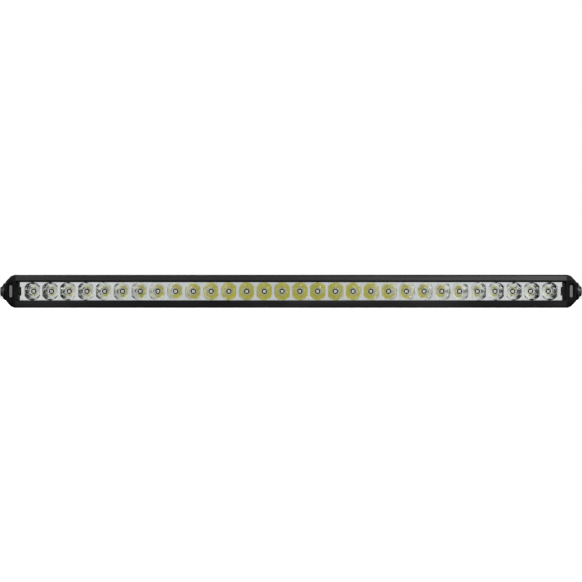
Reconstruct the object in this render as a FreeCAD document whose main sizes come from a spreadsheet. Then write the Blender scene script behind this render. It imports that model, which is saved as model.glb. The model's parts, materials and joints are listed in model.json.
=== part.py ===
import FreeCAD, Part
import math
import os
import re
import Sketcher
from FreeCAD import Vector

# A single-row LED light bar. X runs along the bar, the lens faces -Y and Z is up.
# The origin is the middle of the housing's flat underside. All lengths are millimetres.

SIZES = {
    # housing section
    "bar_height": 45.8,
    "bar_depth": 62.0,
    "window_height": 25.3,
    "rail_radius": 3.0,
    "rail_setback": 1.4,
    "rail_face_height": 7.8,
    "rail_bevel_height": 2.2,
    "rail_bevel_depth": 2.2,
    "lip_thickness": 2.6,
    "lens_gap": 0.1,
    "lens_thickness": 3.0,
    "lens_height": 31.2,
    "lens_gasket_thickness": 0.9,
    "gasket_past_window": 2.0,
    "rear_lip_thickness": 2.0,
    "side_wall": 4.7,
    "sink_wall": 4.5,
    "bay_depth": 14.5,
    "bay_wall": 5.7,
    "rear_wall": 2.5,
    "taper_length": 9.0,
    "taper_rise": 3.2,
    "fin_gap_count": 6,
    "fin_gap": 4.4,
    "fin_pitch": 6.6,
    "screw_boss_radius": 2.8,
    # row of light cells
    "led_pitch": 24.7,
    "cells_per_strip": 10,
    "strip_count": 3,
    "end_strip": 4.8,
    "bowl_focus": 2.0,
    "bowl_hole_radius": 3.4,
    "bowl_rim_radius": 12.45,
    "bowl_shell": 3.0,
    "web_width": 3.5,
    "reflector_plate": 1.2,
    "reflector_setback": 0.7,
    "reflector_gap": 0.2,
    "post_radius": 2.0,
    "peg_radius": 1.3,
    "peg_length": 1.4,
    "peg_cells": 2,
    "screw_cells": 4,
    "board_thickness": 1.6,
    "board_height": 24.0,
    "thermal_pad_thickness": 0.5,
    "led_base_width": 3.45,
    "led_base_height": 0.6,
    "phosphor_width": 1.4,
    "phosphor_height": 0.15,
    "link_length": 10.0,
    "link_width": 4.0,
    "link_height": 1.6,
    "dome_radius": 1.55,
    "dome_height": 1.3,
    # ends
    "retainer_thickness": 5.2,
    "tab_half_height": 6.0,
    "tab_reach": 2.0,
    "tab_root": 1.8,
    "tab_thickness": 1.2,
    "cap_gasket_thickness": 1.4,
    "cap_thickness": 12.1,
    "cap_slope_height": 9.2,
    "cap_slope_length": 7.0,
    "cap_shoulder_drop": 1.8,
    "cap_edge_round": 1.2,
    "cap_spigot_length": 8.0,
    "boss_height": 6.0,
    "boss_base_radius": 14.6,
    "boss_face_radius": 12.6,
    "recess_width": 8.0,
    "recess_height": 22.0,
    "recess_depth": 3.0,
    "plate_thickness": 3.8,
    "plate_height": 16.8,
    "plate_proud": 1.0,
    "plate_inset": 6.8,
    "plate_past_bolt": 6.5,
    # fasteners
    "bolt_radius": 4.0,
    "bolt_length": 20.0,
    "bolt_head_height": 4.4,
    "bolt_head_radius": 7.4,
    "bolt_head_round": 2.6,
    "bolt_flange_radius": 8.9,
    "bolt_flange_height": 1.2,
    "bolt_socket_width": 5.0,
    "bolt_socket_depth": 2.6,
    "bolt_hole_run_out": 1.0,
    "washer_radius": 12.0,
    "washer_thickness": 2.0,
    "washer_bevel": 0.6,
    "cap_screw_radius": 1.5,
    "cap_screw_length": 16.0,
    "cap_screw_head_radius": 2.75,
    "cap_screw_head_height": 3.0,
    "cap_screw_head_sink": 4.0,
    "cap_screw_socket_width": 2.5,
    "cap_screw_socket_depth": 1.8,
    "cap_screw_board_offset": 2.6,
    "cap_screw_floor_offset": 1.4,
    "cap_screw_rear_offset": 6.5,
    "cap_screw_fins": 2,
    "board_screw_radius": 1.5,
    "board_screw_length": 3.6,
    "board_screw_head_radius": 2.7,
    "board_screw_head_height": 1.7,
    "board_screw_socket_width": 2.0,
    "board_screw_socket_depth": 1.0,
    "thread_clearance": 0.05,
    "hole_clearance": 0.3,
    "slide_clearance": 0.2,
    # driver
    "driver_length": 220.0,
    "driver_board_thickness": 1.6,
    "driver_standoff": 3.0,
    "guide_depth": 1.2,
    "guide_end_gap": 0.7,
    "inductor_radius": 6.0,
    "inductor_height": 7.0,
    "inductor_pitch": 66.0,
    "capacitor_radius": 4.0,
    "capacitor_height": 9.0,
    "capacitor_rise": 8.0,
    "transistor_width": 10.0,
    "transistor_tall": 9.0,
    "transistor_height": 2.3,
    "controller_width": 5.0,
    "controller_tall": 4.0,
    "controller_height": 1.6,
    "chip_rise": 9.0,
    "terminal_width": 10.0,
    "terminal_tall": 12.0,
    "terminal_height": 8.0,
    "terminal_edge_gap": 2.0,
    "header_width": 8.0,
    "header_height": 4.0,
    "pin_radius": 0.5,
    "pin_pitch": 3.8,
    "pin_reach": 1.0,
    # rear fittings
    "fitting_offset": 300.0,
    "relief_width": 34.0,
    "gland_thread_radius": 6.0,
    "gland_hex_width": 16.0,
    "gland_hex_height": 4.0,
    "gland_neck_height": 3.5,
    "gland_nut_width": 15.0,
    "gland_nut_height": 10.5,
    "gland_nut_roof": 2.0,
    "gland_mouth_margin": 1.0,
    "gland_bore_radius": 4.5,
    "cable_radius": 3.25,
    "locknut_height": 3.0,
    "seal_ring_height": 1.0,
    "seal_ring_width": 1.6,
    "vent_thread_radius": 4.0,
    "vent_thread_past_wall": 2.0,
    "vent_head_width": 13.0,
    "vent_head_height": 4.5,
    "vent_bore_radius": 2.6,
    "vent_membrane_height": 0.3,
    # how far a cut runs past the face it starts or ends on
    "cut_margin": 1.0,
}

# Stations along Y, from the front rail back to the fin tips.
FRONT = "-bar_depth/2"
REAR = "bar_depth/2"
GROOVE_FRONT = f"({FRONT} + lip_thickness)"
LENS_FRONT = f"({GROOVE_FRONT} + lens_gap)"
LENS_BACK = f"({LENS_FRONT} + lens_thickness)"
GROOVE_BACK = f"({LENS_BACK} + lens_gasket_thickness)"
REFLECTOR_FRONT = f"({GROOVE_BACK} + reflector_setback)"
BOWL_DEPTH = "((bowl_rim_radius*bowl_rim_radius - bowl_hole_radius*bowl_hole_radius)/(4*bowl_focus))"
HOLE_PLANE = f"({REFLECTOR_FRONT} + {BOWL_DEPTH})"
BOARD_FRONT = f"({HOLE_PLANE} + reflector_gap)"
BOARD_BACK = f"({BOARD_FRONT} + board_thickness)"
FLOOR = f"({BOARD_BACK} + thermal_pad_thickness)"
BAY_FRONT = f"({FLOOR} + sink_wall)"
BAY_BACK = f"({BAY_FRONT} + bay_depth)"
FIN_ROOT = f"({BAY_BACK} + rear_wall)"
BOLT_Y = f"(({BAY_FRONT} + {BAY_BACK})/2)"
DRIVER_FRONT = f"({BAY_FRONT} + driver_standoff)"
DRIVER_BACK = f"({DRIVER_FRONT} + driver_board_thickness)"

# Stations along X, from the middle out to the right tip.
STRIP_LENGTH = "(led_pitch*cells_per_strip)"
HALF_ROW = f"({STRIP_LENGTH}*strip_count/2)"
WINDOW_END = f"({HALF_ROW} + end_strip)"
HOUSING_END = f"({WINDOW_END} + retainer_thickness)"
CAP_INNER = f"({HOUSING_END} + cap_gasket_thickness)"
CAP_FACE = f"({CAP_INNER} + cap_thickness)"
BOSS_FACE = f"({CAP_FACE} + boss_height)"
HEAD_SEAT = f"({BOSS_FACE} + washer_thickness)"
PLATE_X = f"({CAP_FACE} - plate_inset)"

# Heights.
MID = "bar_height/2"
CAVITY_HALF = "(bar_height/2 - side_wall)"
BAY_HALF = "(bar_height/2 - bay_wall)"
OPENING_HALF = "(window_height/2 + slide_clearance)"
STRIP_HALF = "(window_height/2 - slide_clearance)"
DRIVER_HALF = f"({BAY_HALF} + guide_depth - guide_end_gap)"

doc = FreeCAD.newDocument("led_light_bar")
sheet = doc.addObject("Spreadsheet::Sheet", "sizes")
subparts = []


def fill_sheet():
    for row, (alias, value) in enumerate(SIZES.items(), start=1):
        sheet.set(f"A{row}", alias)
        sheet.set(f"B{row}", str(value))
        sheet.setAlias(f"B{row}", alias)
    doc.recompute()


def size(alias):
    """A driving dimension, read from the sheet."""
    return float(sheet.get(alias))


def bound(expression):
    """The expression with each alias written as a reference to the sheet."""
    aliases = "|".join(SIZES)
    return re.sub(rf"\b({aliases})\b", r"sizes.\1", expression)


def bind(thing, prop, expression):
    thing.setExpression(prop, bound(expression))


# ---------------------------------------------------------------- sketches and features

def keep(part):
    """Count an object as a sub-part, so that it is checked and exported."""
    subparts.append(part)
    return part


def new_body(label, x="0", y="0", z="0"):
    body = doc.addObject("PartDesign::Body", label)
    body.Label = label
    bind(body, "Placement.Base.x", x)
    bind(body, "Placement.Base.y", y)
    bind(body, "Placement.Base.z", z)
    return body


def new_sketch(body, role, offset="0"):
    """A sketch on one of the body's own origin planes, moved along its normal."""
    sketch = body.newObject("Sketcher::SketchObject", f"{body.Name}_sketch")
    plane = next(item for item in body.Origin.OriginFeatures if item.Role == role)
    sketch.AttachmentSupport = [(plane, "")]
    sketch.MapMode = "FlatFace"
    bind(sketch, "AttachmentOffset.Base.z", offset)
    return sketch


def fix_distance(sketch, kind, geometry, point, expression):
    """Tie one coordinate of a point to an expression, starting from where the point is."""
    place = sketch.getPoint(geometry, point)
    start = place.x if kind == "DistanceX" else place.y
    index = sketch.addConstraint(Sketcher.Constraint(kind, -1, 1, geometry, point, start))
    bind(sketch, f"Constraints[{index}]", expression)


def fix_point(sketch, geometry, point, across, up):
    fix_distance(sketch, "DistanceX", geometry, point, across)
    fix_distance(sketch, "DistanceY", geometry, point, up)


def polygon(sketch, points):
    """A closed outline. Each corner is a pair of expressions."""
    count = len(points)
    first = sketch.GeometryCount
    corners = [
        Vector(math.cos(2*math.pi*turn/count), math.sin(2*math.pi*turn/count), 0)
        for turn in range(count)
    ]
    for index in range(count):
        sketch.addGeometry(Part.LineSegment(corners[index], corners[(index + 1) % count]), False)
    for index in range(count):
        following = first + (index + 1) % count
        sketch.addConstraint(Sketcher.Constraint("Coincident", first + index, 2, following, 1))
    for index, (across, up) in enumerate(points):
        fix_point(sketch, first + index, 1, across, up)


def rectangle(sketch, left, right, low, high):
    polygon(sketch, [(left, low), (right, low), (right, high), (left, high)])


def circle(sketch, across, up, radius):
    index = sketch.GeometryCount
    sketch.addGeometry(Part.Circle(Vector(0, 0, 0), Vector(0, 0, 1), 1.0), False)
    fix_point(sketch, index, 3, across, up)
    limit = sketch.addConstraint(Sketcher.Constraint("Radius", index, 1.0))
    bind(sketch, f"Constraints[{limit}]", radius)


def hexagon(sketch, across, up, width):
    """A hexagon with two corners level with its centre. width is its distance across flats."""
    corner = f"{width}/sqrt(3)"
    side = f"{width}/(2*sqrt(3))"
    flat = f"{width}/2"
    polygon(sketch, [
        (f"{across} + {corner}", up),
        (f"{across} + {side}", f"{up} + {flat}"),
        (f"{across} - {side}", f"{up} + {flat}"),
        (f"{across} - {corner}", up),
        (f"{across} - {side}", f"{up} - {flat}"),
        (f"{across} + {side}", f"{up} - {flat}"),
    ])


def add_feature(body, kind, sketch, length, reverse, midplane):
    feature = body.newObject(f"PartDesign::{kind}", f"{body.Name}_{kind.lower()}")
    feature.Profile = sketch
    feature.Reversed = reverse
    feature.Midplane = midplane
    bind(feature, "Length", length)
    sketch.Visibility = False
    return feature


def pad(body, sketch, length, reverse=False, midplane=False):
    feature = add_feature(body, "Pad", sketch, length, reverse, midplane)
    doc.recompute()
    return feature


def pocket(body, sketch, length, reverse=False, midplane=False):
    """Cut the sketch out of the body. The volume must drop, or the cut points the wrong way."""
    before = body.Shape.Volume
    feature = add_feature(body, "Pocket", sketch, length, reverse, midplane)
    doc.recompute()
    if body.Shape.Volume >= before - 1e-6:
        raise RuntimeError(f"{feature.Name} removed nothing")
    return feature


def repeat(body, feature, sketch, axis, step, count):
    """A row of copies of one feature, one step apart."""
    pattern = body.newObject("PartDesign::LinearPattern", f"{body.Name}_row")
    pattern.Originals = [feature]
    pattern.Direction = (sketch, [axis])
    bind(pattern, "Length", f"{step}*({count} - 1)")
    bind(pattern, "Occurrences", count)
    body.Tip = pattern
    doc.recompute()
    return pattern


def dress(body, kind, test, sizes):
    """A fillet or chamfer on each edge of the body that passes the test.

    The test sees the edges in the body's own coordinates.
    """
    feature = body.newObject(f"PartDesign::{kind}", f"{body.Name}_{kind.lower()}")
    base = feature.BaseFeature
    names = [f"Edge{number}" for number, edge in enumerate(base.Shape.Edges, start=1) if test(edge)]
    feature.Base = (base, names)
    for prop, expression in sizes.items():
        bind(feature, prop, expression)
    doc.recompute()
    return feature


def runs_along(edge, axis):
    """True for a straight edge parallel to the axis."""
    if len(edge.Vertexes) != 2:
        return False
    run = edge.Vertexes[1].Point - edge.Vertexes[0].Point
    return run.Length > 0 and abs(abs(run.normalize().dot(axis)) - 1) < 1e-6


def block(label, left, right, front, back, low, high):
    """A plain rectangular piece between six stations."""
    part = doc.addObject("Part::Box", label)
    part.Label = label
    bind(part, "Length", f"{right} - ({left})")
    bind(part, "Width", f"{back} - ({front})")
    bind(part, "Height", f"{high} - ({low})")
    bind(part, "Placement.Base.x", left)
    bind(part, "Placement.Base.y", front)
    bind(part, "Placement.Base.z", low)
    return keep(part)


def mirrored(label, source):
    """The left-hand twin of a right-hand piece."""
    twin = doc.addObject("Part::Mirroring", label)
    twin.Label = label
    twin.Source = source
    twin.Normal = Vector(1, 0, 0)
    return keep(twin)


def both_sides(name, build):
    """Build a right-hand piece, and its left-hand twin."""
    right = keep(build(f"{name}_right"))
    mirrored(f"{name}_left", right)


# ---------------------------------------------------------------- shared positions

STRIPS = {"left": -1, "middle": 0, "right": 1}


def strip_centre(side):
    return f"{STRIPS[side]}*{STRIP_LENGTH}"


def screw_stations():
    """Places along one strip, from its centre, where a board screw goes in."""
    return [f"{step}*screw_cells*led_pitch" for step in (-1, 0, 1)]


def peg_stations():
    """Places along one strip, from its centre, where the reflector stands on the board."""
    return [f"{step}*peg_cells*led_pitch" for step in (-1, 1)]


HEADER_X = "led_pitch"
PIN_PLACES = ["-pin_pitch/2", "pin_pitch/2"]


def cap_screw_places():
    """Centres of the four cap screws: two beside the heat-sink wall, two among the fins."""
    near = f"({FLOOR} + cap_screw_floor_offset)"
    far = f"({REAR} - cap_screw_rear_offset)"
    places = []
    for sign in ("-", "+"):
        places.append((near, f"{MID} {sign} (board_height/2 + cap_screw_board_offset)"))
        places.append((far, f"{MID} {sign} fin_pitch*cap_screw_fins"))
    return places


def section_outline(sketch, inset="0"):
    """The housing's outer outline in the YZ plane: flat top and bottom, tapered behind.

    In front, each rail leans back from a crease near the window to the top or bottom edge.
    """
    polygon(sketch, [
        (f"{FRONT} + rail_setback + {inset}", inset),
        (f"{REAR} - taper_length", inset),
        (f"{REAR} - {inset}", f"taper_rise + {inset}"),
        (f"{REAR} - {inset}", f"bar_height - taper_rise - {inset}"),
        (f"{REAR} - taper_length", f"bar_height - {inset}"),
        (f"{FRONT} + rail_setback + {inset}", f"bar_height - {inset}"),
        (f"{FRONT} + {inset}", "(bar_height - rail_face_height)"),
        (f"{FRONT} + {inset}", "rail_face_height"),
    ])


def round_rails(body):
    """Round the rails' outer edges, where they meet the flat top and bottom."""
    box = body.Tip.Shape.BoundBox
    rail_edge = box.YMin + size("rail_setback")

    def on_rail_edge(edge):
        return runs_along(edge, Vector(1, 0, 0)) and abs(edge.Vertexes[0].Y - rail_edge) < 0.01

    dress(body, "Fillet", on_rail_edge, {"Radius": "rail_radius"})


# ---------------------------------------------------------------- housing

def cut_cavity(body):
    """The window, the lens groove and the space for the reflectors, open to the front."""
    half = [
        (FRONT, "(window_height/2 + rail_bevel_height)"),
        (f"({FRONT} + rail_bevel_depth)", "window_height/2"),
        (GROOVE_FRONT, "window_height/2"),
        (GROOVE_FRONT, "(lens_height/2 + slide_clearance)"),
        (GROOVE_BACK, "(lens_height/2 + slide_clearance)"),
        (GROOVE_BACK, OPENING_HALF),
        (f"({GROOVE_BACK} + rear_lip_thickness)", OPENING_HALF),
        (f"({GROOVE_BACK} + rear_lip_thickness)", CAVITY_HALF),
        (FLOOR, CAVITY_HALF),
    ]
    upper = [(across, f"{MID} + {up}") for across, up in half]
    lower = [(across, f"{MID} - {up}") for across, up in reversed(half)]
    sketch = new_sketch(body, "YZ_Plane")
    polygon(sketch, upper + lower)
    pocket(body, sketch, f"4*{HOUSING_END}", midplane=True)


def cut_bay(body):
    """The driver's bay, with a groove above and below that holds the driver board."""
    sketch = new_sketch(body, "YZ_Plane")
    rectangle(sketch, BAY_FRONT, BAY_BACK, f"{MID} - {BAY_HALF}", f"{MID} + {BAY_HALF}")
    pocket(body, sketch, f"4*{HOUSING_END}", midplane=True)
    sketch = new_sketch(body, "YZ_Plane")
    rectangle(
        sketch,
        f"{DRIVER_FRONT} - slide_clearance",
        f"{DRIVER_BACK} + slide_clearance",
        f"{MID} - {BAY_HALF} - guide_depth",
        f"{MID} + {BAY_HALF} + guide_depth",
    )
    pocket(body, sketch, f"4*{HOUSING_END}", midplane=True)


def cut_fins(body):
    sketch = new_sketch(body, "YZ_Plane")
    lowest = f"({MID} - fin_pitch*(fin_gap_count - 1)/2)"
    rectangle(sketch, FIN_ROOT, REAR, f"{lowest} - fin_gap/2", f"{lowest} + fin_gap/2")
    gap = pocket(body, sketch, f"4*{HOUSING_END}", midplane=True)
    repeat(body, gap, sketch, "V_Axis", "fin_pitch", "fin_gap_count")


def cut_screw_channels(body):
    """Round channels for the cap screws, each in its own boss along the extrusion."""
    sketch = new_sketch(body, "YZ_Plane")
    for across, up in cap_screw_places():
        circle(sketch, across, up, "screw_boss_radius")
    pad(body, sketch, f"2*{HOUSING_END}", midplane=True)
    sketch = new_sketch(body, "YZ_Plane")
    for across, up in cap_screw_places():
        circle(sketch, across, up, "(cap_screw_radius + thread_clearance)")
    pocket(body, sketch, f"4*{HOUSING_END}", midplane=True)


def cut_sink_holes(body):
    """Tapped holes for the board screws, and the slot that the power header goes through."""
    sketch = new_sketch(body, "XZ_Plane", f"-{FLOOR}")
    for side in STRIPS:
        for station in screw_stations():
            place = f"{strip_centre(side)} + {station}"
            circle(sketch, place, MID, "(board_screw_radius + thread_clearance)")
    pocket(body, sketch, "board_screw_length")
    sketch = new_sketch(body, "XZ_Plane", f"-{FLOOR}")
    rectangle(
        sketch,
        f"{HEADER_X} - header_width/2 - slide_clearance",
        f"{HEADER_X} + header_width/2 + slide_clearance",
        f"{MID} - header_height/2 - slide_clearance",
        f"{MID} + header_height/2 + slide_clearance",
    )
    pocket(body, sketch, "sink_wall")


def cut_fitting_seats(body):
    """Flat seats among the fins for the cable gland and the vent, with their holes."""
    for place, radius in (("-fitting_offset", "gland_thread_radius"), ("fitting_offset", "vent_thread_radius")):
        sketch = new_sketch(body, "XZ_Plane", f"-{REAR}")
        rectangle(
            sketch,
            f"{place} - relief_width/2",
            f"{place} + relief_width/2",
            f"{MID} - fin_pitch*cap_screw_fins + screw_boss_radius + slide_clearance",
            f"{MID} + fin_pitch*cap_screw_fins - screw_boss_radius - slide_clearance",
        )
        pocket(body, sketch, f"{REAR} - {FIN_ROOT}", reverse=True)
        sketch = new_sketch(body, "XZ_Plane", f"-{FIN_ROOT}")
        circle(sketch, place, MID, f"({radius} + thread_clearance)")
        pocket(body, sketch, "rear_wall", reverse=True)


def build_housing():
    body = new_body("housing")
    sketch = new_sketch(body, "YZ_Plane")
    section_outline(sketch)
    pad(body, sketch, f"2*{HOUSING_END}", midplane=True)
    round_rails(body)
    cut_cavity(body)
    cut_bay(body)
    cut_fins(body)
    cut_screw_channels(body)
    cut_sink_holes(body)
    cut_fitting_seats(body)
    keep(body)


# ---------------------------------------------------------------- lens and its gasket

def build_lens():
    block(
        "lens",
        f"-{HOUSING_END}", HOUSING_END, LENS_FRONT, LENS_BACK,
        f"{MID} - lens_height/2", f"{MID} + lens_height/2",
    )


def build_lens_gasket():
    body = new_body("lens_gasket", y=GROOVE_BACK, z=MID)
    sketch = new_sketch(body, "XZ_Plane")
    rectangle(sketch, f"-{HOUSING_END}", HOUSING_END, "-lens_height/2", "lens_height/2")
    inner_end = f"({WINDOW_END} + gasket_past_window)"
    rectangle(sketch, f"-{inner_end}", inner_end, f"-{OPENING_HALF}", OPENING_HALF)
    pad(body, sketch, "lens_gasket_thickness")
    keep(body)


# ---------------------------------------------------------------- reflectors

def bowl(axial_shift, reach):
    """A paraboloid about the Y axis, opening towards -Y, cut off at the LED hole's plane.

    axial_shift moves the surface back, which leaves a shell between two such solids.
    reach is how far it runs in front of the hole's plane.
    """
    focus = size("bowl_focus")
    hole = size("bowl_hole_radius")
    start = math.sqrt(hole**2 + 4*focus*axial_shift)
    end = math.sqrt(start**2 + 4*focus*reach)
    vertex = -start**2/(4*focus)
    curve = Part.Parabola()
    curve.Focal = focus
    arc = curve.toBSpline(start, end).toShape()
    arc.translate(Vector(vertex, 0, 0))
    corners = [Vector(reach, end, 0), Vector(reach, 0, 0), Vector(0, 0, 0), Vector(0, start, 0)]
    profile = Part.Face(Part.Wire([arc] + Part.makePolygon(corners).Edges))
    solid = profile.revolve(Vector(0, 0, 0), Vector(1, 0, 0), 360)
    solid.rotate(Vector(0, 0, 0), Vector(0, 0, 1), -90)
    return solid


def centred_box(width, front, back, height):
    return Part.makeBox(width, back - front, height, Vector(-width/2, front, -height/2))


def reflector_cell():
    """One bowl with its half webs. The origin is on the LED's axis in the hole's plane."""
    pitch = size("led_pitch")
    height = size("window_height") - 2*size("slide_clearance")
    depth = (size("bowl_rim_radius")**2 - size("bowl_hole_radius")**2)/(4*size("bowl_focus"))
    plate = centred_box(pitch, -depth, -depth + size("reflector_plate"), height)
    shell = bowl(size("bowl_shell"), depth).common(centred_box(pitch, -depth, 0, height))
    margin = size("cut_margin")
    opening = centred_box(pitch - size("web_width"), -depth - margin, 0, height + 2*margin)
    hollow = bowl(0, depth + margin).common(opening)
    return plate.fuse(shell).cut(hollow)


def reflector_post(depth):
    """A post from the plate down to the board, with a peg that goes into the board."""
    root = size("reflector_plate")/2
    toward_board = Vector(0, 1, 0)
    post = Part.makeCylinder(size("post_radius"), depth - root, Vector(0, root - depth, 0), toward_board)
    tip = Part.makeCylinder(size("peg_radius"), size("peg_length") + root, Vector(0, -root, 0), toward_board)
    return post.fuse(tip)


def end_strip_piece(sign, depth):
    """The plain strip past the last bowl, folded back to the board like a wall."""
    half = size("led_pitch")*size("cells_per_strip")/2
    width = size("end_strip") - size("slide_clearance")
    height = size("window_height") - 2*size("slide_clearance")
    left = half if sign > 0 else -half - width
    plate = Part.makeBox(width, size("reflector_plate"), height, Vector(left, -depth, -height/2))
    wall_left = left + width - size("reflector_plate") if sign > 0 else left
    wall = Part.makeBox(size("reflector_plate"), depth, height, Vector(wall_left, -depth, -height/2))
    return plate.fuse(wall)


def build_reflector(side):
    pitch = size("led_pitch")
    count = int(size("cells_per_strip"))
    depth = (size("bowl_rim_radius")**2 - size("bowl_hole_radius")**2)/(4*size("bowl_focus"))
    pieces = []
    cell = reflector_cell()
    for index in range(count):
        copy = cell.copy()
        copy.translate(Vector((index - (count - 1)/2)*pitch, 0, 0))
        pieces.append(copy)
    for sign in (-1, 1):
        post = reflector_post(depth)
        post.translate(Vector(sign*size("peg_cells")*pitch, 0, 0))
        pieces.append(post)
    if STRIPS[side]:
        pieces.append(end_strip_piece(STRIPS[side], depth))
    part = doc.addObject("Part::Feature", f"reflector_{side}")
    part.Label = f"reflector_{side}"
    part.Shape = pieces[0].fuse(pieces[1:]).removeSplitter()
    bind(part, "Placement.Base.x", strip_centre(side))
    bind(part, "Placement.Base.y", HOLE_PLANE)
    bind(part, "Placement.Base.z", MID)
    keep(part)


# ---------------------------------------------------------------- boards, pads and LEDs

def drilled_strip(label, side, back, thickness, peg_holes):
    """A flat strip behind the reflector, with holes for screws, pegs and header pins."""
    body = new_body(label, x=strip_centre(side), y=back, z=MID)
    sketch = new_sketch(body, "XZ_Plane")
    half = f"({STRIP_LENGTH}/2 - slide_clearance)"
    rectangle(sketch, f"-{half}", half, "-board_height/2", "board_height/2")
    pad(body, sketch, thickness)
    sketch = new_sketch(body, "XZ_Plane")
    for station in screw_stations():
        circle(sketch, station, "0", "(board_screw_radius + hole_clearance)")
    for station in peg_holes:
        circle(sketch, station, "0", "(peg_radius + hole_clearance)")
    if side == "middle":
        for place in PIN_PLACES:
            circle(sketch, f"{HEADER_X} + {place}", "0", "(pin_radius + slide_clearance)")
    pocket(body, sketch, thickness, reverse=True)
    keep(body)


def build_boards():
    for side in STRIPS:
        drilled_strip(f"led_board_{side}", side, BOARD_BACK, "board_thickness", peg_stations())
        drilled_strip(f"thermal_pad_{side}", side, FLOOR, "thermal_pad_thickness", [])


def led_row(label, draw, back, thickness):
    """The same small piece in front of the board in every cell."""
    first = f"(led_pitch/2 - {HALF_ROW})"
    body = new_body(label, x=first, y=back, z=MID)
    sketch = new_sketch(body, "XZ_Plane")
    draw(sketch)
    shape = pad(body, sketch, thickness)
    repeat(body, shape, sketch, "H_Axis", "led_pitch", "(cells_per_strip*strip_count)")
    return keep(body)


def build_leds():
    half = "led_base_width/2"
    chip = "phosphor_width/2"
    led_row("led_bases", lambda sketch: rectangle(sketch, f"-{half}", half, f"-{half}", half),
            BOARD_FRONT, "led_base_height")
    chip_back = f"({BOARD_FRONT} - led_base_height)"
    led_row("led_phosphors", lambda sketch: rectangle(sketch, f"-{chip}", chip, f"-{chip}", chip),
            chip_back, "phosphor_height")


def build_domes():
    """A clear silicone cap over each chip, hollow where the chip sits."""
    rim = size("dome_radius")
    rise = size("dome_height")
    chip = size("phosphor_width")
    chip_height = size("phosphor_height")
    ball_radius = (rim**2 + rise**2)/(2*rise)
    ball = Part.makeSphere(ball_radius, Vector(0, ball_radius - rise, 0))
    in_front = Part.makeBox(4*rim, 2*rise, 4*rim, Vector(-2*rim, -2*rise, -2*rim))
    seat = Part.makeBox(chip, 2*chip_height, chip, Vector(-chip/2, -chip_height, -chip/2))
    dome = ball.common(in_front).cut(seat)
    count = int(size("cells_per_strip")*size("strip_count"))
    domes = []
    for index in range(count):
        copy = dome.copy()
        copy.translate(Vector((index - (count - 1)/2)*size("led_pitch"), 0, 0))
        domes.append(copy)
    part = doc.addObject("Part::Feature", "led_domes")
    part.Label = "led_domes"
    part.Shape = Part.makeCompound(domes)
    bind(part, "Placement.Base.y", f"{BOARD_FRONT} - led_base_height")
    bind(part, "Placement.Base.z", MID)
    keep(part)


def build_board_links():
    """The small bridges that join one board to the next, between two bowls."""
    for side, sign in (("left", "-"), ("right", "")):
        seam = f"({sign}{STRIP_LENGTH}/2)"
        block(
            f"board_link_{side}",
            f"{seam} - link_length/2", f"{seam} + link_length/2", f"{BOARD_FRONT} - link_height", BOARD_FRONT,
            f"{MID} - link_width/2", f"{MID} + link_width/2",
        )


def build_board_screws():
    """Nine socket screws through the boards and pads into the heat-sink wall."""
    body = new_body("board_screws", y=BOARD_FRONT, z=MID)
    stations = [f"{strip_centre(side)} + {station}" for side in STRIPS for station in screw_stations()]
    sketch = new_sketch(body, "XZ_Plane")
    for place in stations:
        circle(sketch, place, "0", "board_screw_head_radius")
    pad(body, sketch, "board_screw_head_height")
    sketch = new_sketch(body, "XZ_Plane")
    for place in stations:
        circle(sketch, place, "0", "board_screw_radius")
    shank = "board_thickness + thermal_pad_thickness + board_screw_length - slide_clearance"
    pad(body, sketch, shank, reverse=True)
    sketch = new_sketch(body, "XZ_Plane", "board_screw_head_height")
    for place in stations:
        hexagon(sketch, place, "0", "board_screw_socket_width")
    pocket(body, sketch, "board_screw_socket_depth")
    keep(body)


# ---------------------------------------------------------------- ends

def end_retainer(label):
    """Fills the window's end behind the lens. Its tab holds the reflector strip back."""
    body = new_body(label, z=MID)
    half = STRIP_HALF
    sketch = new_sketch(body, "XZ_Plane", f"-{BOARD_FRONT}")
    rectangle(sketch, WINDOW_END, f"{HOUSING_END} - slide_clearance/2", f"-{half}", half)
    pad(body, sketch, f"{BOARD_FRONT} - {REFLECTOR_FRONT} + slide_clearance/2")
    tab_back = f"({REFLECTOR_FRONT} - slide_clearance/2)"
    sketch = new_sketch(body, "XZ_Plane", f"-{tab_back}")
    rectangle(
        sketch, f"{WINDOW_END} - tab_reach", f"{WINDOW_END} + tab_root",
        "-tab_half_height", "tab_half_height",
    )
    pad(body, sketch, "tab_thickness")
    return body


def cap_gasket(label):
    """A thin sheet with the section's outline, open where the cap's spigot goes in."""
    body = new_body(label, x=HOUSING_END)
    sketch = new_sketch(body, "YZ_Plane")
    section_outline(sketch, "slide_clearance")
    pad(body, sketch, "cap_gasket_thickness")
    round_rails(body)
    sketch = new_sketch(body, "YZ_Plane")
    rectangle(sketch, BAY_FRONT, BAY_BACK, f"{MID} - {BAY_HALF}", f"{MID} + {BAY_HALF}")
    for across, up in cap_screw_places():
        circle(sketch, across, up, "(cap_screw_radius + hole_clearance)")
    pocket(body, sketch, "cap_gasket_thickness", reverse=True)
    return body


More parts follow.
